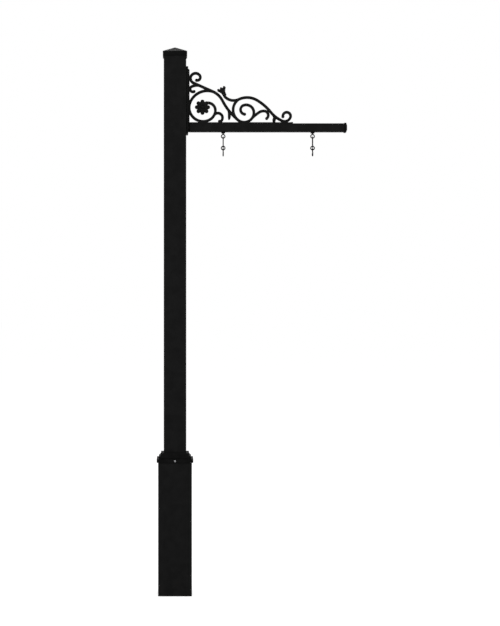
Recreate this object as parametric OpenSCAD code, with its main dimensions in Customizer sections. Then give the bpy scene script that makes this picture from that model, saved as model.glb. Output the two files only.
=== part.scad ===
// Hanging sign post: a square post in a wider base sleeve, with a scrolled side arm
// that carries two hook hangers. Origin at the centre of the foot, +Z up, +X along the arm.

/* [Post] */
// Side of the square post tube
post_w = 101.6; // [90:0.1:114]
// Wall of the post tube
post_wall = 3.2; // [2:0.1:5]
// Height of the post tube above the ground
post_h = 2451; // [2200:1:2900]
// Outside corner radius of the post tube
post_corner_r = 3; // [1:0.5:5]

/* [Cap] */
// Side of the cap skirt
cap_w = 110; // [108:0.1:130]
// Height of the cap skirt
cap_skirt_h = 19; // [12:1:30]
// Rise of the cap roof from skirt to apex
cap_rise = 23; // [12:1:40]
// Thickness of the cap sheet over the post end
cap_plate_t = 4; // [2:0.5:8]

/* [Base sleeve] */
// Side of the square base sleeve
sleeve_w = 152.4; // [140:0.1:160]
// Wall of the base sleeve
sleeve_wall = 3.2; // [2:0.1:8]
// Height at which the sleeve ends inside the collar
sleeve_h = 612; // [500:1:760]

/* [Collar] */
// Side of the collar skirt
collar_w = 165.2; // [158:0.1:180]
// Height of the collar skirt
collar_skirt_h = 15.5; // [12:0.5:24]
// Height of the collar's upper tier
collar_tier_h = 26.5; // [22:0.5:40]
// Side of the upper tier where it stands on the ledge
collar_tier_w = 146.8; // [136:0.1:150]
// Height at which the tier starts to slope in
collar_shoulder_h = 8; // [4:0.5:10]
// Height at which the slope meets the tier's narrower top band
collar_band_h = 17.5; // [12:0.5:20]
// Side of the upper tier at its top
collar_top_w = 128; // [124:0.1:134]
// Thickness of the collar's ledge over the sleeve end
collar_ledge_t = 5; // [4:0.5:8]
// Diameter of the collar screw heads
screw_head_d = 9; // [6:0.5:12]
// Height that a screw head stands proud
screw_head_h = 2; // [1:0.5:3]

/* [Arm] */
// Side of the square arm tube
arm_w = 38.1; // [30:0.1:45]
// Wall of the arm tube
arm_wall = 2.5; // [1.5:0.1:4]
// Length of the arm tube
arm_len = 702; // [640:1:900]
// Height of the arm's centre above the ground
arm_z = 2116.75; // [1900:0.25:2200]
// Side of the arm's end cap
arm_cap_w = 42.8; // [40:0.1:50]
// Length of the arm's end cap, its lip included
arm_cap_l = 14; // [10:0.5:20]

/* [Wall plate] */
// Width of the plate on the post
plate_w = 76; // [60:1:90]
// Thickness of the plate
plate_t = 9; // [5:0.5:11]
// Height of the plate
plate_h = 306; // [290:1:360]
// Width of the upright bar on the plate
upright_w = 25.4; // [16:0.1:38.1]
// Thickness of the upright bar
upright_t = 6.3; // [4:0.1:12]
// Diameter of the plate bolt heads
bolt_head_d = 16; // [10:0.5:20]

/* [Scrollwork] */
// Thickness of a scroll bar, seen from the front
bar_w = 12.7; // [9:0.1:13]
// Depth of a scroll bar, front to back
bar_d = 12.7; // [9:0.1:16]
// Thickness of the rail on top of the arm
rail_t = 6.3; // [4:0.1:8]
// Length of the rail on top of the arm
rail_len = 470; // [465:1:520]
// Height of the small lip at the rail's outer end
rail_lip_h = 1; // [0.5:0.5:3]
// Radius of the round tips of the scrolls
tip_r = 7; // [6:0.5:8]
// Radius of the rosette, to the ends of its petals
rosette_r = 35; // [30:1:38]
// Depth of the rosette, front to back
rosette_d = 18; // [14:1:24]

/* [Hangers] */
// Distance from the post's centre to the inner hanger
hanger_x = 219; // [180:1:260]
// Distance between the two hangers
hanger_pitch = 406.4; // [380:0.1:440]
// Diameter of the hanger wire
wire_d = 5; // [4:0.1:5.2]
// Diameter of the S-hook's wire
hook_wire_d = 5.5; // [4.5:0.1:5.6]
// Mean radius of the eye and the ring
ring_r = 8.2; // [8.2:0.1:9]
// Length of the link, between the wires it hangs on and carries
link_len = 37; // [25:1:60]
// Distance between the S-hook's two bend centres
hook_drop = 18; // [16:0.5:24]
// Mean radius of the S-hook's lower bend
throat_r = 9; // [7.5:0.5:11]
// Side-to-side width of a hex nut
nut_w = 17.5; // [14:0.5:22]
// Height of a hex nut
nut_h = 6; // [4:0.5:8]
// Running gap between one wire and the next
wire_gap = 0.2; // [0.1:0.05:0.3]

/* [Hidden] */
$fn = 48;
black = "#1c1c1d";
screw_silver = "#b8b8ba";
fit = 0.3;

post_face_x = post_w / 2;
plate_front_x = post_face_x + plate_t;
upright_front_x = plate_front_x + upright_t;
arm_top_z = arm_z + arm_w / 2;
arm_bottom_z = arm_z - arm_w / 2;
arm_end_x = upright_front_x + arm_len;
rail_top_z = arm_top_z + rail_t;
plate_bottom_z = arm_bottom_z - 11.7;
upright_h = plate_h - 20;
collar_z = sleeve_h - collar_skirt_h + collar_ledge_t;
collar_ledge_z = collar_z + collar_skirt_h;
cap_z = post_h - cap_skirt_h + cap_plate_t + 4;
facet = 8;

// ---- plain shapes ----

module rounded_square(w, r) {
    for (turn = [0, 90]) rotate(turn) square([w, w - 2 * r], center = true);
    for (sx = [-1, 1], sy = [-1, 1]) translate([sx * (w / 2 - r), sy * (w / 2 - r)]) circle(r);
}

module square_tube(w, wall, h, r) {
    linear_extrude(h) difference() {
        rounded_square(w, r);
        rounded_square(w - 2 * wall, max(r - wall, 0.5));
    }
}

module frustum(w_low, w_high, h) {
    cylinder(h = h, d1 = w_low * sqrt(2), d2 = w_high * sqrt(2), $fn = 4);
}

// a square frustum whose sides face the axes
module square_frustum(w_low, w_high, h) {
    rotate(45) frustum(w_low, w_high, h);
}

// ---- bent lines: [start, heading, steps], a step is [radius, sweep] or [0, length] where it runs straight,
// and a left turn has a positive sweep ----

function side(h) = [-sin(h), cos(h)];
function arc_centre(p, h, a) = p + sign(a[1]) * a[0] * side(h);
function arc_point(p, h, a, t) = arc_centre(p, h, a) - sign(a[1]) * a[0] * side(t);
function turned(a) = a[0] == 0 ? 0 : a[1];
function step_point(p, h, a, f) = a[0] == 0 ? p + f * a[1] * [cos(h), sin(h)] : arc_point(p, h, a, h + f * a[1]);
function line_point(c, i) =
    i == 0 ? c[0] : step_point(line_point(c, i - 1), heading_at(c, i - 1), c[2][i - 1], 1);
function heading_at(c, i) = i == 0 ? c[1] : heading_at(c, i - 1) + turned(c[2][i - 1]);
function tail(c) = line_point(c, len(c[2]));
function tail_heading(c) = heading_at(c, len(c[2]));
function reversed(v) = [for (i = [len(v) - 1:-1:0]) v[i]];

// points along one edge of a bent bar, off to the left of its centre line
function step_edge(c, i, off) =
    let (p = line_point(c, i), h = heading_at(c, i), a = c[2][i], n = a[0] == 0 ? 1 : ceil(abs(a[1]) / facet))
    [for (k = [min(i, 1):n]) step_point(p, h, a, k / n) + off * side(h + turned(a) * k / n)];
function bar_edge(c, off) = [for (i = [0:len(c[2]) - 1]) each step_edge(c, i, off)];
function round_end(p, h, r) = r == 0 ? [] : [for (t = [80:-20:-80]) p + r * [cos(h + t), sin(h + t)]];

// outline of a bent bar, with a round tip of the given radius at its start and its tail, or none
module bent_bar(c, start_r = 0, tail_r = 0, w = bar_w) {
    polygon(concat(bar_edge(c, w / 2), round_end(tail(c), tail_heading(c), tail_r),
                   reversed(bar_edge(c, -w / 2)), round_end(c[0], c[1] + 180, start_r)));
}

// scroll outlines lie in a plane whose origin is the corner of the upright bar and the rail
module in_scroll_plane(d) {
    translate([upright_front_x, 0, rail_top_z]) rotate([90, 0, 0]) linear_extrude(d, center = true) children();
}

// ---- the scrolls' centre lines, in millimetres from that corner ----

diagonal_line = [[31.5, 191], -15, [[14, 137], [23, 214], [0, 97], [88, -39], [279, 28]]];
plate_hook_line = [[45, 167], 170, [[59, 35], [12.5, 181]]];
rosette_line = [[105.5, 139.5], 163, [[84, 85], [63, 140], [50, 57], [34, 106]]];
tendril_line = [[113.5, 35], 47, [[21, -175], [9.5, -62]]];
volute_line = [[222, 103], 216, [[58, 111], [44, 122], [35, 110], [21, 154]]];
arch_line = [[158, 119.5], 309, [[55, 76], [89, -56], [236, -20], [139, 27], [28, 91], [17.5, 212]]];
arch_tendril_line = [[285.5, 20], 45, [[202, -11], [39, -39], [19, -137]]];
rosette_at = [58.8, 68.5];
bud_at = [160.5, 121];
bud_turn = 27;
leaf_outline = [[160, 66], [174.5, 42], [175.5, 18], [179.5, 11], [185, 19], [187.5, 33], [184, 54]];
spur_outline = [[374, 36], [381.5, 24], [377, 11], [381, -1], [386, -1], [391, 10], [394, 16], [398, 20]];

// everything behind the upright bar's face and below the rail's top
module seats() {
    reach = 2 * rail_len;
    polygon([[0, 0], [reach, 0], [reach, -reach], [-reach, -reach], [-reach, reach], [0, reach]]);
}

module rosette_outline() {
    translate(rosette_at) {
        circle(rosette_r - 9);
        for (i = [0:7]) rotate(i * 45) translate([rosette_r - 8.6, 0]) circle(8.6);
    }
}

module diagonal_outline() {
    difference() {
        bent_bar(diagonal_line, start_r = tip_r);
        seats();
    }
}

module arch_outline() {
    difference() {
        bent_bar(arch_line, tail_r = tip_r);
        seats();
    }
}

module rosette_scroll_outline() {
    difference() {
        bent_bar(rosette_line);
        seats();
        rosette_outline();
        diagonal_outline();
    }
}

// the corner between the diagonal's foot and the rail stays open
module foot_corner() {
    polygon([[190, -1], [230, -1], [200, 22]]);
}

module volute_outline() {
    difference() {
        bent_bar(volute_line, tail_r = tip_r);
        seats();
        foot_corner();
        diagonal_outline();
        arch_outline();
    }
}

// ---- pieces ----

module main_post() {
    color(black) square_tube(post_w, post_wall, post_h, post_corner_r);
}

module post_cap() {
    color(black) difference() {
        union() {
            translate([0, 0, cap_z]) linear_extrude(cap_skirt_h) rounded_square(cap_w, 1.5);
            translate([0, 0, cap_z + cap_skirt_h]) square_frustum(cap_w - 1, 4, cap_rise);
        }
        translate([0, 0, cap_z - 1])
            linear_extrude(post_h - cap_z + 1) rounded_square(post_w + 2 * fit, post_corner_r);
        translate([0, 0, post_h - 1]) square_frustum(post_w - 6, 4, cap_rise);
    }
}

module base_sleeve() {
    color(black) square_tube(sleeve_w, sleeve_wall, sleeve_h, 3);
}

module collar_skirt() {
    color(black) difference() {
        translate([0, 0, collar_z]) linear_extrude(collar_skirt_h) rounded_square(collar_w, 3);
        translate([0, 0, collar_z - 1])
            linear_extrude(collar_skirt_h - collar_ledge_t + 1) rounded_square(sleeve_w + 2 * fit, 3);
        translate([0, 0, collar_z]) linear_extrude(collar_skirt_h + 1) rounded_square(post_w + 2 * fit, post_corner_r);
    }
}

module collar_tier() {
    slope = (collar_tier_w - collar_top_w) / (collar_band_h - collar_shoulder_h);
    color(black) difference() {
        translate([0, 0, collar_ledge_z]) union() {
            linear_extrude(collar_tier_h) square(collar_top_w - 1, center = true);
            intersection() {
                linear_extrude(collar_band_h) square(collar_tier_w, center = true);
                square_frustum(collar_top_w + slope * collar_band_h, collar_top_w, collar_band_h);
            }
        }
        translate([0, 0, collar_ledge_z - 1])
            linear_extrude(collar_tier_h + 2) rounded_square(post_w + 2 * fit, post_corner_r);
    }
}

module collar_screws() {
    screw_z = collar_z + (collar_skirt_h - collar_ledge_t) / 2 + 2;
    color(screw_silver) for (turn = [0, 180])
        rotate([0, 0, turn]) translate([0, -collar_w / 2, screw_z]) rotate([90, 0, 0])
            cylinder(h = screw_head_h, d = screw_head_d);
}

module wall_plate() {
    color(black) translate([post_face_x, -plate_w / 2, plate_bottom_z]) cube([plate_t, plate_w, plate_h]);
}

module upright_bar() {
    color(black) translate([plate_front_x, 0, arm_bottom_z]) rotate([90, 0, 0])
        linear_extrude(upright_w, center = true)
            polygon([[0, 0], [upright_t, 0], [upright_t, upright_h - 4], [upright_t - 4, upright_h], [0, upright_h]]);
}

module plate_bolts() {
    color(black) for (sy = [-1, 1], z = [plate_bottom_z + 28, plate_bottom_z + plate_h - 28])
        translate([plate_front_x, sy * (plate_w / 2 - 12), z]) rotate([0, 90, 0]) cylinder(h = 5, d = bolt_head_d);
}

module arm_tube() {
    color(black) difference() {
        translate([upright_front_x, 0, arm_z]) rotate([90, 0, 90]) square_tube(arm_w, arm_wall, arm_len, 2);
        for (x = [hanger_x, hanger_x + hanger_pitch])
            translate([x, 0, arm_bottom_z - 1]) cylinder(h = arm_wall + 2, d = 8 + 2 * fit);
    }
}

module arm_end_cap() {
    color(black) {
        translate([arm_end_x, 0, arm_z]) rotate([90, 0, 90]) linear_extrude(9) rounded_square(arm_cap_w, 2);
        translate([arm_end_x + 9, 0, arm_z]) rotate([0, 90, 0]) square_frustum(arm_cap_w - 3, arm_cap_w - 22, 4.5);
    }
}

module scroll_rail() {
    color(black) in_scroll_plane(bar_d)
        polygon([[0, -rail_t], [rail_len, -rail_t], [rail_len, rail_lip_h], [rail_len - 8, rail_lip_h],
                 [rail_len - 9, 0], [0, 0]]);
}

module long_diagonal_scroll() {
    color(black) in_scroll_plane(bar_d) diagonal_outline();
}

module plate_hook_scroll() {
    color(black) in_scroll_plane(bar_d) difference() {
        bent_bar(plate_hook_line, tail_r = tip_r);
        seats();
        rosette_scroll_outline();
        diagonal_outline();
    }
}

module rosette_scroll() {
    color(black) in_scroll_plane(bar_d) rosette_scroll_outline();
}

module rosette_flower() {
    color(black) in_scroll_plane(rosette_d) rosette_outline();
}

module rosette_tendril() {
    color(black) in_scroll_plane(bar_d) difference() {
        bent_bar(tendril_line, tail_r = tip_r);
        seats();
        rosette_scroll_outline();
    }
}

module hanging_leaf() {
    color(black) in_scroll_plane(bar_d) difference() {
        polygon(leaf_outline);
        diagonal_outline();
    }
}

module inner_volute() {
    color(black) in_scroll_plane(bar_d) volute_outline();
}

module arch_scroll() {
    color(black) in_scroll_plane(bar_d) arch_outline();
}

// a flower bud of three petals: half its outline, from the stem to the middle petal's tip
half_bud = [[8.5, 0], [8.5, 6], [7, 8.5], [8.5, 13], [12.5, 20], [15, 25], [19.5, 30], [21, 35], [18.5, 41],
            [13, 42], [6, 37.5]];

module tulip_bud() {
    color(black) in_scroll_plane(bar_d) difference() {
        translate(bud_at) rotate(bud_turn)
            polygon(concat(half_bud, [[0, 43.5]], [for (q = reversed(half_bud)) [-q[0], q[1]]]));
        arch_outline();
        diagonal_outline();
    }
}

module arch_tendril() {
    color(black) in_scroll_plane(bar_d) difference() {
        bent_bar(arch_tendril_line, tail_r = tip_r);
        seats();
        volute_outline();
        arch_outline();
    }
}

module rail_spur() {
    color(black) in_scroll_plane(bar_d) difference() {
        polygon(spur_outline);
        seats();
        arch_outline();
    }
}

// ---- hangers ----

eye_z = arm_bottom_z - 19.3;
eye_low_z = eye_z - ring_r;
ring_top_z = eye_low_z - link_len;
ring_z = ring_top_z - ring_r;
ring_low_z = ring_z - ring_r;
link_bend_r = wire_d + wire_gap;
hook_bend_r = (wire_d + hook_wire_d) / 2 + wire_gap;

module torus(r, wire) {
    rotate_extrude() translate([r, 0]) circle(d = wire);
}

module eye_bolt(x) {
    color(black) {
        translate([x, 0, eye_z]) rotate([90, 0, 0]) torus(ring_r, wire_d);
        translate([x, 0, eye_z + ring_r]) cylinder(h = arm_bottom_z - eye_z - ring_r + arm_wall + 5, d = 8);
    }
}

module hex_nut(x) {
    color(black) difference() {
        translate([x, 0, arm_bottom_z - nut_h]) rotate(30) cylinder(h = nut_h, d = nut_w / cos(30), $fn = 6);
        translate([x, 0, arm_bottom_z - nut_h - 1]) cylinder(h = nut_h + 2, d = 8 + 2 * 0.05);
    }
}

// a wire bent in the YZ plane along such a line; its straights are a hair thinner and run into the bends
module wire(c, d) {
    lap = 0.3;
    for (i = [0:len(c[2]) - 1]) {
        p = line_point(c, i);
        h = heading_at(c, i);
        a = c[2][i];
        rotate([90, 0, 90])
            if (a[0] == 0) translate(p) rotate(h) translate([-lap, 0]) rotate([0, 90, 0])
                cylinder(h = a[1] + 2 * lap, d = d - 0.1);
            else translate(arc_centre(p, h, a)) rotate(h - sign(a[1]) * 90 + min(a[1], 0))
                rotate_extrude(angle = abs(a[1])) translate([a[0], 0]) circle(d = d);
    }
}

module link(x) {
    leg = eye_low_z - ring_top_z;
    color(black) translate([x, 0, ring_top_z])
        wire([[link_bend_r, 0], 90, [[0, leg], [link_bend_r, 180], [0, leg], [link_bend_r, 180]]], wire_d);
}

module ring(x) {
    color(black) translate([x, 0, ring_z]) rotate([90, 0, 0]) torus(ring_r, wire_d);
}

// the straight between the two bends leans so that it touches both circles
module s_hook(x) {
    lean = asin((hook_bend_r + throat_r) / hook_drop);
    open_end = 10;
    start = hook_bend_r * [-cos(open_end), -sin(open_end)];
    top_sweep = 90 + open_end + 90 + lean;
    throat_sweep = 90 + lean + 110;
    color(black) translate([x, 0, ring_low_z])
        wire([start, 90 + open_end,
              [[hook_bend_r, -top_sweep], [0, hook_drop * cos(lean)], [throat_r, throat_sweep]]], hook_wire_d);
}

main_post();
post_cap();
base_sleeve();
collar_skirt();
collar_tier();
collar_screws();
wall_plate();
upright_bar();
plate_bolts();
arm_tube();
arm_end_cap();
scroll_rail();
long_diagonal_scroll();
plate_hook_scroll();
rosette_scroll();
rosette_flower();
rosette_tendril();
hanging_leaf();
inner_volute();
arch_scroll();
tulip_bud();
arch_tendril();
rail_spur();
eye_bolt(hanger_x);  // inner_eye_bolt
hex_nut(hanger_x);  // inner_nut
link(hanger_x);  // inner_link
ring(hanger_x);  // inner_ring
s_hook(hanger_x);  // inner_hook
eye_bolt(hanger_x + hanger_pitch);  // outer_eye_bolt
hex_nut(hanger_x + hanger_pitch);  // outer_nut
link(hanger_x + hanger_pitch);  // outer_link
ring(hanger_x + hanger_pitch);  // outer_ring
s_hook(hanger_x + hanger_pitch);  // outer_hook
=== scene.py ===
"""Looks of the hanging sign post: coats, turned and forged detail, light and camera around its solids."""
import math

import bmesh
import bpy
from mathutils import Matrix, Vector


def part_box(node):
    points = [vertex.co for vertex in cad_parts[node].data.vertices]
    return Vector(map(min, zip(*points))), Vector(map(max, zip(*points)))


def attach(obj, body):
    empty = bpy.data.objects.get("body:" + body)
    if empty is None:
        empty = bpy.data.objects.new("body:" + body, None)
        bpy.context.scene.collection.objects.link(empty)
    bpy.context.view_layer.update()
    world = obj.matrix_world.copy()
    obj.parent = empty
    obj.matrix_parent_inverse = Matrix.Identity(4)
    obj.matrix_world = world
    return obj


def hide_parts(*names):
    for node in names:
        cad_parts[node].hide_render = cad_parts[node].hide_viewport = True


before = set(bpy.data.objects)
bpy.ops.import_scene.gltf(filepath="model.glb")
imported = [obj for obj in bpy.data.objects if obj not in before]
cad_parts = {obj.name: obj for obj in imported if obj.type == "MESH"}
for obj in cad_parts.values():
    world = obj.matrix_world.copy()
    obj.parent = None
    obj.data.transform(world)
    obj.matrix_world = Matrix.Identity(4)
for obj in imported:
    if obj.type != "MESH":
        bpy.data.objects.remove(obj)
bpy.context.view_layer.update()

MM = 0.001
FRAME_SIZE = (500, 626)


# ---- camera, light and stage ----

EYE_DISTANCE = 7.503
EYE_HEIGHT = 1.316
LENS = 94.9
MIDDLE_RIGHT = 75
MIDDLE_DOWN = 9


def set_camera():
    data = bpy.data.cameras.new("camera")
    data.lens = LENS
    data.sensor_width = 36
    data.shift_x = MIDDLE_RIGHT / max(FRAME_SIZE)
    data.shift_y = -MIDDLE_DOWN / max(FRAME_SIZE)
    data.clip_end = 200
    eye = bpy.data.objects.new("camera", data)
    eye.location = (0, -EYE_DISTANCE, EYE_HEIGHT)
    eye.rotation_euler = (math.radians(90), 0, 0)
    bpy.context.scene.collection.objects.link(eye)
    bpy.context.scene.camera = eye


set_camera()
bpy.context.scene.view_settings.view_transform = "Standard"


class Value:
    """A shader's number: adding, taking, multiplying or dividing it adds the Math node that does so."""

    def __init__(self, coat, socket):
        self.coat = coat
        self.socket = socket

    def _math(self, operation, first, second):
        made = self.coat.node("ShaderNodeMath", {"operation": operation}, {0: first, 1: second})
        return Value(self.coat, made.outputs[0])

    def __add__(self, other):
        return self._math("ADD", self, other)

    __radd__ = __add__

    def __sub__(self, other):
        return self._math("SUBTRACT", self, other)

    def __rsub__(self, other):
        return self._math("SUBTRACT", other, self)

    def __mul__(self, other):
        return self._math("MULTIPLY", self, other)

    __rmul__ = __mul__

    def __truediv__(self, other):
        return self._math("DIVIDE", self, other)


class Coat:
    """A node tree being built, for a material or the world."""

    def __init__(self, owner):
        owner.use_nodes = True
        self.owner = owner
        self.tree = owner.node_tree
        self.tree.nodes.clear()

    def node(self, kind, settings=None, inputs=None):
        made = self.tree.nodes.new(kind)
        for name, setting in (settings or {}).items():
            if name == "stops":
                ramp = made.color_ramp
                while len(ramp.elements) < len(setting):
                    ramp.elements.new(1)
                for element, (place, colour) in zip(ramp.elements, setting):
                    element.position = place
                    element.color = (*colour, 1)
            else:
                setattr(made, name, setting)
        for name, given in (inputs or {}).items():
            socket = made.inputs[name]
            if isinstance(given, Value):
                self.tree.links.new(given.socket, socket)
            elif isinstance(given, bpy.types.NodeSocket):
                self.tree.links.new(given, socket)
            else:
                socket.default_value = given
        return made

    def value(self, kind, settings=None, inputs=None, output=0):
        return Value(self, self.node(kind, settings, inputs).outputs[output])

    def place(self):
        return self.node("ShaderNodeTexCoord").outputs["Object"]

    def noise(self, size, detail=2.0, roughness=0.5, stretch=(1, 1, 1)):
        place = self.node("ShaderNodeMapping", inputs={"Vector": self.place(), "Scale": stretch}).outputs[0]
        return self.value("ShaderNodeTexNoise", inputs={
            "Vector": place, "Scale": 1 / size, "Detail": detail, "Roughness": roughness})

    def span(self, value, low, high, to_low=0.0, to_high=1.0):
        return self.value("ShaderNodeMapRange", {"clamp": True, "interpolation_type": "SMOOTHSTEP"}, {
            "Value": value, "From Min": low, "From Max": high, "To Min": to_low, "To Max": to_high})

    def blend(self, share, first, second):
        mix = self.node("ShaderNodeMix", {"data_type": "RGBA"}, {0: share, 6: first, 7: second})
        return mix.outputs[2]

    def bump(self, height, depth, strength=1.0):
        return self.node("ShaderNodeBump", inputs={
            "Height": height, "Distance": depth, "Strength": strength}).outputs[0]


def colour(value, warm=0.0):
    return (value * (1 + warm), value, value * (1 - warm), 1)


SCENE_LIGHT = 0.5
BACKDROP_WHITE = 1.0


def light_world():
    world = bpy.data.worlds.new("studio")
    bpy.context.scene.world = world
    coat = Coat(world)
    path = coat.node("ShaderNodeLightPath")
    seen = coat.value("ShaderNodeMath", {"operation": "MAXIMUM"}, {
        0: path.outputs["Is Camera Ray"], 1: path.outputs["Is Transmission Ray"]})
    seen = coat.value("ShaderNodeMath", {"operation": "MAXIMUM"}, {0: seen, 1: path.outputs["Is Glossy Ray"]})
    strength = seen * (BACKDROP_WHITE - SCENE_LIGHT) + SCENE_LIGHT
    white = coat.node("ShaderNodeBackground", inputs={"Color": (1, 1, 1, 1), "Strength": strength})
    coat.node("ShaderNodeOutputWorld", inputs={"Surface": white.outputs[0]})


def soft_lamp(name, place, aim, size, watts):
    data = bpy.data.lights.new(name, "AREA")
    data.shape = "RECTANGLE"
    data.size, data.size_y = size
    data.energy = watts
    lamp = bpy.data.objects.new(name, data)
    lamp.location = place
    lamp.rotation_euler = (Vector(aim) - Vector(place)).to_track_quat("-Z", "Y").to_euler()
    bpy.context.scene.collection.objects.link(lamp)


def lay_floor():
    half = 90
    mesh = bpy.data.meshes.new("floor")
    mesh.from_pydata([(-half, -half, 0), (half, -half, 0), (half, half, 0), (-half, half, 0)], [], [(0, 1, 2, 3)])
    floor = bpy.data.objects.new("floor", mesh)
    bpy.context.scene.collection.objects.link(floor)
    coat = Coat(bpy.data.materials.new("floor_white"))
    path = coat.node("ShaderNodeLightPath")
    glow = coat.node("ShaderNodeEmission", inputs={
        "Color": (1, 1, 1, 1), "Strength": Value(coat, path.outputs["Is Camera Ray"]) * 0.6})
    matt = coat.node("ShaderNodeBsdfDiffuse", inputs={"Color": (0.8, 0.8, 0.8, 1)})
    both = coat.node("ShaderNodeAddShader", inputs={0: glow.outputs[0], 1: matt.outputs[0]})
    coat.node("ShaderNodeOutputMaterial", inputs={"Surface": both.outputs[0]})
    floor.data.materials.append(coat.owner)


light_world()
soft_lamp("key_lamp", (-3.5, -5.5, 5.5), (0.2, 0, 1.3), (4, 4), 190)
soft_lamp("fill_lamp", (4.5, -4.5, 3.0), (0.2, 0, 1.2), (4, 4), 110)
soft_lamp("back_lamp", (1.0, 5.5, 4.5), (0.2, 0, 1.4), (4, 3), 130)
lay_floor()


# ---- finishes ----

def finished_material(name, coat_maker):
    coat = Coat(bpy.data.materials.new(name))
    surface = coat_maker(coat)
    coat.node("ShaderNodeOutputMaterial", inputs={"Surface": surface.outputs[0]})
    return coat.owner


def powder_coat(coat):
    """Semi-matt black powder coat: orange peel, a slow change in the film, and dust low on the post."""
    peel = coat.noise(2.2 * MM, detail=3)
    flow = coat.noise(38 * MM, detail=2)
    specks = coat.span(coat.noise(1.1 * MM, detail=1), 0.66, 0.78)
    height = coat.value("ShaderNodeSeparateXYZ", inputs={"Vector": coat.place()}, output=2)
    dust = coat.span(height, 0.16, 0.0) * coat.span(coat.noise(24 * MM, detail=4), 0.42, 0.75)
    film = coat.blend(coat.span(flow, 0.3, 0.7), colour(0.0058), colour(0.0076))
    film = coat.blend(specks * 0.3, film, colour(0.014))
    film = coat.blend(dust * 0.12, film, colour(0.02, 0.12))
    rough = 0.40 + coat.span(flow, 0.3, 0.7) * 0.08 + specks * 0.08 + dust * 0.2
    return coat.node("ShaderNodeBsdfPrincipled", inputs={
        "Base Color": film, "Roughness": rough, "Specular IOR Level": 0.04,
        "Normal": coat.bump(peel + flow * 2, 0.05 * MM, 0.6)})


def forged_coat(coat):
    """The same coat over forged bar: hammer flats and a little mill scale under the film."""
    flats = coat.value("ShaderNodeTexVoronoi", {"feature": "SMOOTH_F1"}, {
        "Vector": coat.place(), "Scale": 1 / (9 * MM), "Smoothness": 0.8})
    peel = coat.noise(1.8 * MM, detail=3)
    flow = coat.noise(22 * MM, detail=3)
    film = coat.blend(coat.span(flow, 0.3, 0.7), colour(0.0055), colour(0.0072))
    film = coat.blend(coat.span(peel, 0.62, 0.74) * 0.3, film, colour(0.012))
    rough = 0.36 + coat.span(flow, 0.3, 0.7) * 0.1 + coat.span(peel, 0.62, 0.74) * 0.08
    return coat.node("ShaderNodeBsdfPrincipled", inputs={
        "Base Color": film, "Roughness": rough, "Specular IOR Level": 0.05,
        "Normal": coat.bump(flats * 1.2 + peel * 0.5, 0.16 * MM, 0.6)})


def wire_coat(coat):
    """Thin glossy coat on drawn wire, rubbed to the steel in small patches."""
    rubbed = coat.span(coat.noise(5 * MM, detail=4), 0.66, 0.74)
    drawn = coat.noise(1.2 * MM, detail=2)
    film = coat.blend(rubbed * 0.5, colour(0.008), colour(0.09))
    return coat.node("ShaderNodeBsdfPrincipled", inputs={
        "Base Color": film, "Roughness": 0.34 + drawn * 0.12, "Metallic": rubbed * 0.5,
        "Specular IOR Level": 0.1, "Normal": coat.bump(drawn, 0.03 * MM, 0.6)})


def zinc_screw(coat):
    """Bright zinc on a screw head, with turning marks and a few dull spots."""
    spots = coat.span(coat.noise(2.5 * MM, detail=3), 0.5, 0.7)
    marks = coat.noise(0.5 * MM, detail=2)
    film = coat.blend(spots * 0.6, (0.3, 0.3, 0.31, 1), (0.14, 0.14, 0.14, 1))
    return coat.node("ShaderNodeBsdfPrincipled", inputs={
        "Base Color": film, "Roughness": 0.28 + spots * 0.2, "Metallic": 0.9 - spots * 0.2,
        "Normal": coat.bump(marks, 0.02 * MM, 0.5)})


def cast_coat(coat):
    """Powder coat on the cast cap and collar: a coarser skin than on drawn tube."""
    skin = coat.noise(3.4 * MM, detail=5, roughness=0.6)
    flow = coat.noise(30 * MM, detail=2)
    film = coat.blend(coat.span(flow, 0.3, 0.7), colour(0.0052), colour(0.0068))
    film = coat.blend(coat.span(skin, 0.6, 0.72) * 0.3, film, colour(0.012))
    return coat.node("ShaderNodeBsdfPrincipled", inputs={
        "Base Color": film, "Roughness": 0.5 + coat.span(flow, 0.3, 0.7) * 0.1, "Specular IOR Level": 0.01,
        "Normal": coat.bump(skin + flow * 2, 0.09 * MM, 0.6)})


POWDER = finished_material("black_powder_coat", powder_coat)
FORGED = finished_material("forged_bar_coat", forged_coat)
CAST = finished_material("cast_cap_coat", cast_coat)
WIRE = finished_material("black_wire", wire_coat)
ZINC = finished_material("zinc_screw", zinc_screw)


# ---- mesh helpers ----

SHARP_ANGLE = math.radians(35)


def piece_from(name, mesh, finish, body, nodes):
    """Puts a finished mesh on its body in place of the CAD nodes that it stands for."""
    for face in mesh.polygons:
        face.use_smooth = True
    mesh.set_sharp_from_angle(angle=SHARP_ANGLE)
    mesh.materials.clear()
    mesh.materials.append(finish)
    piece = bpy.data.objects.new(name, mesh)
    bpy.context.scene.collection.objects.link(piece)
    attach(piece, body)
    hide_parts(*nodes)
    return piece


def closed(work):
    """Merges doubles and turns every face outwards."""
    bmesh.ops.remove_doubles(work, verts=work.verts, dist=1e-6)
    bmesh.ops.dissolve_degenerate(work, edges=work.edges, dist=1e-7)
    bmesh.ops.recalc_face_normals(work, faces=work.faces)
    return work


def as_mesh(name, work):
    mesh = bpy.data.meshes.new(name)
    closed(work).to_mesh(mesh)
    work.free()
    return mesh


def grid(work, rows, around=True):
    """Skins rows of points; each row is closed on itself, and a row of one point closes the end."""
    made = [[work.verts.new(point) for point in row] for row in rows]
    for low, high in zip(made, made[1:]):
        count = max(len(low), len(high))
        for i in range(count if around else count - 1):
            corners = [low[i % len(low)], low[(i + 1) % len(low)], high[(i + 1) % len(high)], high[i % len(high)]]
            corners = [v for k, v in enumerate(corners) if v not in corners[:k]]
            if len(corners) > 2:
                work.faces.new(corners)


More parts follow.
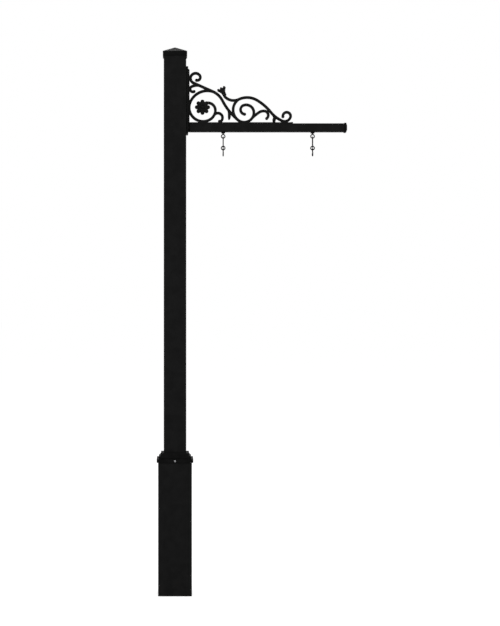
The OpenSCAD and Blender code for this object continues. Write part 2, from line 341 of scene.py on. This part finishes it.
def turned(work, profile, centre, axis, steps=32):
    """A turned shape: profile is (radius, height) pairs from pole to pole along the axis."""
    way = Vector(axis).normalized()
    first = way.orthogonal().normalized()
    second = way.cross(first)
    rows = []
    for radius, height in profile:
        middle = Vector(centre) + way * height
        if radius == 0:
            rows.append([middle])
            continue
        rows.append([middle + radius * (math.cos(a) * first + math.sin(a) * second)
                     for a in (2 * math.pi * i / steps for i in range(steps))])
    grid(work, rows)


def rounded_disc(radius, depth, edge, segments=4):
    """Profile of a disc whose rims are rounded."""
    half = depth / 2
    profile = [(0, -half)]
    for i in range(segments + 1):
        a = math.pi / 2 * i / segments
        profile.append((radius - edge + edge * math.sin(a), -half + edge - edge * math.cos(a)))
    return profile + [(r, -h) for r, h in reversed(profile)]


def cushion(work, outline, heart, place, depth, rings=7, crease=0.0):
    """A closed shape, domed on both sides, inside an outline of (u, v) points round its heart."""
    half = depth / 2
    for side in (-1, 1):
        rows = []
        for k in range(rings + 1):
            share = math.sin(math.pi / 2 * k / rings)
            rise = half * math.sqrt(max(1 - share * share, 0)) if k < rings else 0
            row = []
            for u, v in outline:
                at = (heart[0] + (u - heart[0]) * share, heart[1] + (v - heart[1]) * share)
                row.append(place(at[0], side * rise, at[1]))
            rows.append(row if k else [place(heart[0], side * (half - crease), heart[1])])
        grid(work, rows)


def smooth_outline(points, steps=6):
    """A closed curve through the given points."""
    curve = []
    n = len(points)
    for i in range(n):
        a, b, c, d = (Vector(points[(i + k) % n]) for k in (-1, 0, 1, 2))
        for s in range(steps):
            t = s / steps
            curve.append(0.5 * (2 * b + (c - a) * t + (2 * a - 5 * b + 4 * c - d) * t * t
                                + (3 * b - a - 3 * c + d) * t ** 3))
    return [(p[0], p[1]) for p in curve]


def bevelled_copy(node, width, segments=3):
    """The CAD node's own shape with its arrises eased."""
    work = bmesh.new()
    work.from_mesh(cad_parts[node].data)
    bmesh.ops.remove_doubles(work, verts=work.verts, dist=2e-6)
    bmesh.ops.dissolve_limit(work, angle_limit=math.radians(0.6), verts=work.verts, edges=work.edges)
    mesh = bpy.data.meshes.new(node + "_eased")
    work.to_mesh(mesh)
    work.free()
    holder = bpy.data.objects.new(node + "_eased", mesh)
    bpy.context.scene.collection.objects.link(holder)
    bevel = holder.modifiers.new("arris", "BEVEL")
    bevel.width = width
    bevel.segments = segments
    bevel.limit_method = "ANGLE"
    bevel.angle_limit = math.radians(32)
    bevel.use_clamp_overlap = True
    bpy.context.view_layer.update()
    eased = bpy.data.meshes.new_from_object(holder.evaluated_get(bpy.context.evaluated_depsgraph_get()))
    bpy.data.objects.remove(holder)
    return eased


# ---- Geometry Nodes: a bar along a line, and copies on points ----

def new_tree(name, inputs, output):
    tree = bpy.data.node_groups.new(name, "GeometryNodeTree")
    for label, kind in inputs:
        tree.interface.new_socket(label, in_out="INPUT", socket_type="NodeSocket" + kind)
    tree.interface.new_socket(output, in_out="OUTPUT", socket_type="NodeSocketGeometry")
    start = tree.nodes.new("NodeGroupInput")
    end = tree.nodes.new("NodeGroupOutput")

    def add(kind, settings=None, **links):
        made = tree.nodes.new(kind)
        for key, setting in (settings or {}).items():
            setattr(made, key, setting)
        for label, given in links.items():
            socket = made.inputs[label.replace("_", " ")]
            if isinstance(given, bpy.types.NodeSocket):
                tree.links.new(given, socket)
            else:
                socket.default_value = given
        return made

    return tree, start, end, add


def bar_tree():
    """Sweeps a bar with rounded arrises along a line."""
    tree, start, end, add = new_tree("Bar along a line", [
        ("Line", "Geometry"), ("Bar width", "Float"), ("Bar depth", "Float"), ("Arris radius", "Float"),
        ("Finish", "Material")], "Bar")
    curve = add("GeometryNodeMeshToCurve", Mesh=start.outputs["Line"])
    section = add("GeometryNodeCurvePrimitiveQuadrilateral",
                  Width=start.outputs["Bar depth"], Height=start.outputs["Bar width"])
    rounded = add("GeometryNodeFilletCurve", {"mode": "POLY"}, Curve=section.outputs[0],
                  Radius=start.outputs["Arris radius"], Count=3)
    bar = add("GeometryNodeCurveToMesh", Curve=curve.outputs[0], Profile_Curve=rounded.outputs[0], Fill_Caps=True)
    real = add("GeometryNodeRealizeInstances", Geometry=bar.outputs[0])
    coated = add("GeometryNodeSetMaterial", Geometry=real.outputs[0], Material=start.outputs["Finish"])
    tree.links.new(coated.outputs[0], end.inputs[0])
    return tree


def copies_tree():
    """Puts a copy of a piece on each point, each turned by one more step than the last."""
    tree, start, end, add = new_tree("Copies on points", [
        ("Points", "Geometry"), ("Copy", "Object"), ("Turn", "Vector"), ("Finish", "Material")], "Copies")
    info = add("GeometryNodeObjectInfo", Object=start.outputs["Copy"])
    turn = add("ShaderNodeVectorMath", {"operation": "SCALE"}, Vector=start.outputs["Turn"],
               Scale=add("GeometryNodeInputIndex").outputs[0])
    placed = add("GeometryNodeInstanceOnPoints", Points=start.outputs["Points"],
                 Instance=info.outputs["Geometry"], Rotation=turn.outputs[0])
    real = add("GeometryNodeRealizeInstances", Geometry=placed.outputs[0])
    coated = add("GeometryNodeSetMaterial", Geometry=real.outputs[0], Material=start.outputs["Finish"])
    tree.links.new(coated.outputs[0], end.inputs[0])
    return tree


BAR_TREE = bar_tree()
COPIES_TREE = copies_tree()


def grown(tree, mesh, inputs):
    """Runs a tree on a mesh and gives back the plain mesh that it makes."""
    holder = bpy.data.objects.new("holder", mesh)
    bpy.context.scene.collection.objects.link(holder)
    modifier = holder.modifiers.new("nodes", "NODES")
    modifier.node_group = tree
    names = {item.name: item.identifier for item in tree.interface.items_tree if item.in_out == "INPUT"}
    for label, given in inputs.items():
        modifier[names[label]] = given
    holder.update_tag()
    bpy.context.view_layer.update()
    made = bpy.data.meshes.new_from_object(holder.evaluated_get(bpy.context.evaluated_depsgraph_get()))
    bpy.data.objects.remove(holder)
    return made


def copies(points, copy_mesh, turn, finish):
    pattern = bpy.data.objects.new("pattern", copy_mesh)
    bpy.context.scene.collection.objects.link(pattern)
    mesh = bpy.data.meshes.new("points")
    mesh.from_pydata(points, [], [])
    made = grown(COPIES_TREE, mesh, {"Copy": pattern, "Turn": turn, "Finish": finish})
    bpy.data.objects.remove(pattern)
    return made


# ---- tube, cap, collar, plate and arm ----

CARRIED = {
    POWDER: ("main_post", "base_sleeve", "arm_tube"),
    WIRE: tuple(side + part for side in ("inner_", "outer_") for part in ("link", "ring", "hook")),
}
for finish, names in CARRIED.items():
    for name in names:
        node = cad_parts[name]
        node.data.materials.clear()
        node.data.materials.append(finish)

EASED = {
    "post_cap": (2.2 * MM, CAST), "collar_skirt": (2.0 * MM, CAST), "collar_tier": (1.8 * MM, CAST),
    "wall_plate": (1.2 * MM, POWDER), "upright_bar": (1.0 * MM, FORGED), "arm_end_cap": (1.0 * MM, CAST),
    "scroll_rail": (0.8 * MM, FORGED),
}
for name, (width, finish) in EASED.items():
    piece_from(name + "_eased", bevelled_copy(name, width), finish, "post", [name])


def middle_of(node):
    low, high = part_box(node)
    return (low + high) / 2


def plate_bolt_heads():
    """Domed heads on round washers."""
    low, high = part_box("plate_bolts")
    proud = high.x - low.x
    radius = 8 * MM
    work = bmesh.new()
    turned(work, [(0, -0.5 * MM), (radius, -0.5 * MM), (radius, 0.8 * MM), (radius - 0.4 * MM, 1.2 * MM),
                  (radius - 1.6 * MM, 1.3 * MM), (radius - 1.9 * MM, 2.4 * MM), (4.6 * MM, 3.8 * MM),
                  (2.4 * MM, proud - 0.15 * MM), (0, proud)], (0, 0, 0), (1, 0, 0), steps=40)
    spots = [(low.x, y, z) for y in (low.y + radius, high.y - radius) for z in (low.z + radius, high.z - radius)]
    heads = copies(spots, as_mesh("bolt_head", work), (0, 0, 0), POWDER)
    piece_from("plate_bolt_heads", heads, POWDER, "post", ["plate_bolts"])


def collar_screw_heads():
    """Pan heads with a cross recess, one on the front and one on the back."""
    low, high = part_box("collar_screws")
    radius = (high.x - low.x) / 2
    proud = 2 * MM
    work = bmesh.new()
    profile = [(0, -0.4 * MM), (radius, -0.4 * MM), (radius, 0.9 * MM), (radius * 0.9, 1.5 * MM),
               (radius * 0.7, proud - 0.1 * MM), (radius * 0.45, proud), (0, proud)]
    steps = 48
    rows = []
    for r, h in profile:
        rows.append([Vector((0, -h, 0))] if r == 0 else
                    [Vector((r * math.cos(a), -h, r * math.sin(a))) for a in
                     (2 * math.pi * i / steps for i in range(steps))])
    rows[-1:] = []
    for share, sink in ((0.3, 0.0), (0.24, 0.9), (0.0, 1.0)):
        if share == 0:
            rows.append([Vector((0, -proud + sink * MM, 0))])
            continue
        row = []
        for i in range(steps):
            a = 2 * math.pi * i / steps
            arm = abs(math.cos(2 * a)) ** 6
            r = radius * (0.12 + 2.0 * share * arm) * (1 if sink == 0 else 0.8)
            row.append(Vector((r * math.cos(a), -proud + sink * MM, r * math.sin(a))))
        rows.append(row)
    grid(work, rows)
    at = middle_of("collar_screws")
    spots = [(at.x, low.y + proud, at.z), (at.x, high.y - proud, at.z)]
    heads = copies(spots, as_mesh("screw_head", work), (0, 0, math.pi), ZINC)
    piece_from("collar_screw_heads", heads, ZINC, "post", ["collar_screws"])


plate_bolt_heads()
collar_screw_heads()


# ---- scrollwork: lines in millimetres from the corner of the upright bar and the rail ----
# a line is (start, heading, steps); a step is (radius, sweep), or (0, length) where it runs straight

CORNER_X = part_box("upright_bar")[1].x
RAIL_LIP = 1 * MM
CORNER_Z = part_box("scroll_rail")[1].z - RAIL_LIP
BAR_WIDTH = 12.7 * MM
BAR_DEPTH = 12.7 * MM
TIP_RADIUS = 7 * MM

SCROLLS = {
    "long_diagonal_scroll": ((31.5, 191), -15, ((14, 137), (23, 214), (0, 97), (88, -39), (279, 28)), "start"),
    "plate_hook_scroll": ((45, 167), 170, ((59, 35), (12.5, 181)), "end"),
    "rosette_scroll": ((105.5, 139.5), 163, ((84, 85), (63, 140), (50, 57), (34, 106)), ""),
    "rosette_tendril": ((113.5, 35), 47, ((21, -175), (9.5, -62)), "end"),
    "inner_volute": ((222, 103), 216, ((58, 111), (44, 122), (35, 110), (21, 154)), "end"),
    "arch_scroll": ((158, 119.5), 309,
                    ((55, 76), (89, -56), (236, -20), (139, 27), (28, 91), (17.5, 212)), "end"),
    "arch_tendril": ((285.5, 20), 45, ((202, -11), (39, -39), (19, -137)), "end"),
}


def in_plane(u, depth, v):
    """A point of the scroll plane: u along the arm, v up, both in millimetres, and depth in metres."""
    return Vector((CORNER_X + u * MM, depth, CORNER_Z + v * MM))


def line_points(start, heading, steps, fine=2.5):
    u, v = start
    points = [(u, v)]
    for radius, sweep in steps:
        h = math.radians(heading)
        if radius == 0:
            u, v = u + sweep * math.cos(h), v + sweep * math.sin(h)
            points.append((u, v))
            continue
        turn = math.copysign(radius, sweep)
        cu, cv = u - turn * math.sin(h), v + turn * math.cos(h)
        count = max(2, math.ceil(abs(sweep) / fine))
        for k in range(1, count + 1):
            t = h + math.radians(sweep) * k / count
            points.append((cu + turn * math.sin(t), cv - turn * math.cos(t)))
        u, v = points[-1]
        heading += sweep
    return points


def bar_mesh(points, width, depth, arris, finish):
    mesh = bpy.data.meshes.new("line")
    mesh.from_pydata([in_plane(u, 0, v) for u, v in points], [(i, i + 1) for i in range(len(points) - 1)], [])
    return grown(BAR_TREE, mesh, {"Bar width": width, "Bar depth": depth, "Arris radius": arris, "Finish": finish})


for rank, (name, (start, heading, steps, tip)) in enumerate(SCROLLS.items()):
    points = line_points(start, heading, steps)
    depth = BAR_DEPTH - (0.1 + 0.16 * rank) * MM
    bar = bar_mesh(points, BAR_WIDTH, depth, 1.4 * MM, FORGED)
    work = bmesh.new()
    work.from_mesh(bar)
    if tip:
        u, v = points[0] if tip == "start" else points[-1]
        turned(work, rounded_disc(TIP_RADIUS, depth + 0.1 * MM, 2.6 * MM), in_plane(u, 0, v), (0, 1, 0), steps=40)
    piece_from(name + "_bar", as_mesh(name, work), FORGED, "post", [name])


# ---- rosette, bud, leaf and spur ----

ROSETTE_AT = (58.8, 68.5)
ROSETTE_RADIUS = 35
ROSETTE_DEPTH = 18 * MM


def petal(reach, root, half_width, depth, cup):
    """One petal, pointing up from the origin, with a rounded end and a crease down its middle."""
    steps = 28
    outline = []
    for i in range(steps):
        a = 2 * math.pi * i / steps
        along = 0.5 - 0.5 * math.cos(a)
        wide = half_width * math.sin(a) * (0.45 + 0.75 * along)
        outline.append((wide, root + (reach - root) * along))
    work = bmesh.new()
    cushion(work, outline, (0, root + (reach - root) * 0.62), lambda u, y, v: Vector((u * MM, y, v * MM)),
            depth, rings=6, crease=cup)
    return as_mesh("petal", work)


def rosette():
    heart = in_plane(ROSETTE_AT[0], 0, ROSETTE_AT[1])
    spots = [tuple(heart)] * 8
    work = bmesh.new()
    step = (0, math.radians(45), 0)
    work.from_mesh(copies(spots, petal(ROSETTE_RADIUS - 0.2, 3, 10.6, 11.5 * MM, 1.2 * MM), step, FORGED))
    inner = copies(spots, petal(22, 2, 7.4, 15 * MM, 1.0 * MM), step, FORGED)
    for vertex in inner.vertices:
        vertex.co = heart + Matrix.Rotation(math.radians(22.5), 3, "Y") @ (vertex.co - heart)
    work.from_mesh(inner)
    turned(work, rounded_disc(26.5 * MM, 7 * MM, 2.5 * MM), heart, (0, 1, 0), steps=48)
    turned(work, rounded_disc(7.2 * MM, ROSETTE_DEPTH, 4.5 * MM, 6), heart, (0, 1, 0), steps=32)
    piece_from("rosette_petals", as_mesh("rosette", work), FORGED, "post", ["rosette_flower"])


BUD_AT = (160.5, 121)
BUD_TURN = math.radians(27)


def bud_place(u, y, v):
    turn = Vector((u * math.cos(BUD_TURN) - v * math.sin(BUD_TURN), u * math.sin(BUD_TURN) + v * math.cos(BUD_TURN)))
    return in_plane(BUD_AT[0] + turn.x, y, BUD_AT[1] + turn.y)


def tulip_bud():
    """A cup with two petals that roll outwards and a pointed one between them."""
    work = bmesh.new()
    middle = smooth_outline([(0, 4), (7, 14), (10.5, 26), (6.5, 37), (0, 43.3), (-6.5, 37), (-10.5, 26), (-7, 14)])
    cushion(work, middle, (0, 24), bud_place, 12.6 * MM)
    for way in (1, -1):
        rolled = smooth_outline([(way * u, v) for u, v in (
            (1.5, 1), (8.2, 1), (7.6, 8.5), (9, 13), (12.7, 20), (15.4, 25), (19.6, 30), (20.6, 35),
            (18, 40.6), (13, 41.6), (8.2, 37), (5, 28), (3, 16))])
        cushion(work, rolled, (way * 10.5, 26), bud_place, 11.2 * MM)
    cup = smooth_outline([(0, -2), (8.2, -1), (8.4, 6), (7.2, 9.5), (0, 13), (-7.2, 9.5), (-8.4, 6), (-8.2, -1)])
    cushion(work, cup, (0, 5), bud_place, 12.4 * MM)
    piece_from("tulip_bud_petals", as_mesh("bud", work), FORGED, "post", ["tulip_bud"])


def flat_leaf(name, node, outline, heart, depth):
    work = bmesh.new()
    cushion(work, smooth_outline(outline), heart, in_plane, depth)
    piece_from(name, as_mesh(name, work), FORGED, "post", [node])


rosette()
tulip_bud()
flat_leaf("hanging_leaf_blade", "hanging_leaf",
          [(170.5, 58), (173.6, 43), (174.6, 18), (179.5, 9.5), (186.2, 18), (187.6, 33), (182, 48), (174.5, 58)],
          (180, 34), 12 * MM)
flat_leaf("rail_spur_blade", "rail_spur",
          [(376, 30), (379.6, 22), (376.6, 11), (379, -3), (388, -3), (392.4, 10), (394.5, 15), (392, 20), (384, 27)],
          (384.5, 13), 12 * MM)


# ---- hangers ----

THREAD_PITCH = 1.25 * MM
SHANK_RADIUS = 4 * MM


def threaded_shank(work, x, low, high):
    """A helical thread, run out to plain ends."""
    steps = 24
    layers = math.ceil((high - low) / (THREAD_PITCH / 6))
    rows = [[Vector((x, 0, low))]]
    for k in range(layers + 1):
        z = low + (high - low) * k / layers
        edge = min(1, k / 3, (layers - k) / 3)
        row = []
        for i in range(steps):
            turn = i / steps
            phase = ((z - low) / THREAD_PITCH - turn) % 1
            groove = abs(phase - 0.5) * 2
            radius = SHANK_RADIUS - 0.65 * MM * groove * edge - 0.05 * MM
            row.append(Vector((x + radius * math.cos(2 * math.pi * turn), radius * math.sin(2 * math.pi * turn), z)))
        rows.append(row)
    rows.append([Vector((x, 0, high))])
    grid(work, rows)


def ring_of_wire(work, centre, radius, wire, steps=64, sides=16):
    """A closed ring of round wire that faces the front."""
    rows = []
    for k in range(steps + 1):
        a = 2 * math.pi * k / steps
        way = Vector((math.cos(a), 0, math.sin(a)))
        rows.append([Vector(centre) + way * (radius + wire * math.cos(b)) + Vector((0, wire * math.sin(b), 0))
                     for b in (2 * math.pi * i / sides for i in range(sides))])
    grid(work, rows)


def eye_bolt(side):
    node = side + "_eye_bolt"
    low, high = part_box(node)
    x = (low.x + high.x) / 2
    outer = (high.x - low.x) / 2
    wire = (high.y - low.y) / 2
    wire = min(wire, 2.5 * MM)
    radius = outer - wire
    centre = (x, 0, low.z + outer)
    work = bmesh.new()
    ring_of_wire(work, centre, radius, wire)
    neck = centre[2] + radius
    threaded_shank(work, x, neck + 1.6 * MM, high.z)
    turned(work, [(0, 0), (2.4 * MM, 0), (3.4 * MM, 0.9 * MM), (3.9 * MM, 1.8 * MM), (3.9 * MM, 2.6 * MM),
                  (0, 2.6 * MM)], (x, 0, neck - 0.6 * MM), (0, 0, 1), steps=32)
    piece_from(node + "_threaded", as_mesh(node, work), WIRE, "post", [node])


def chamfered_nut(side):
    """A hexagon whose corners are turned off top and bottom."""
    node = side + "_nut"
    low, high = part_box(node)
    x = (low.x + high.x) / 2
    flat = min(high.x - low.x, high.y - low.y) / 2
    height = high.z - low.z
    across = flat / math.cos(math.radians(30))
    per_side = 8
    steps = 6 * per_side
    points_x = high.x - low.x > high.y - low.y

    def ring(z, limit):
        row = []
        for i in range(steps):
            a = 2 * math.pi * i / steps
            off = (a + (0 if points_x else math.pi / 6)) % (math.pi / 3) - math.pi / 6
            r = min(flat / math.cos(off), limit)
            row.append(Vector((x + r * math.cos(a), r * math.sin(a), z)))
        return row

    work = bmesh.new()
    base = low.z
    rows = [[Vector((x, 0, base))], ring(base, flat * 0.98)]
    for z, grow in ((0.45, 0.35), (0.9, 0.75)):
        rows.append(ring(base + z * MM, flat + (across - flat) * grow))
    rows += [ring(base + 1.3 * MM, across), ring(base + height - 1.3 * MM, across)]
    for z, grow in ((0.9, 0.75), (0.45, 0.35)):
        rows.append(ring(base + height - z * MM, flat + (across - flat) * grow))
    rows += [ring(base + height, flat * 0.98), [Vector((x, 0, base + height))]]
    grid(work, rows)
    piece_from(node + "_chamfered", as_mesh(node, work), WIRE, "post", [node])


for side in ("inner", "outer"):
    eye_bolt(side)
    chamfered_nut(side)
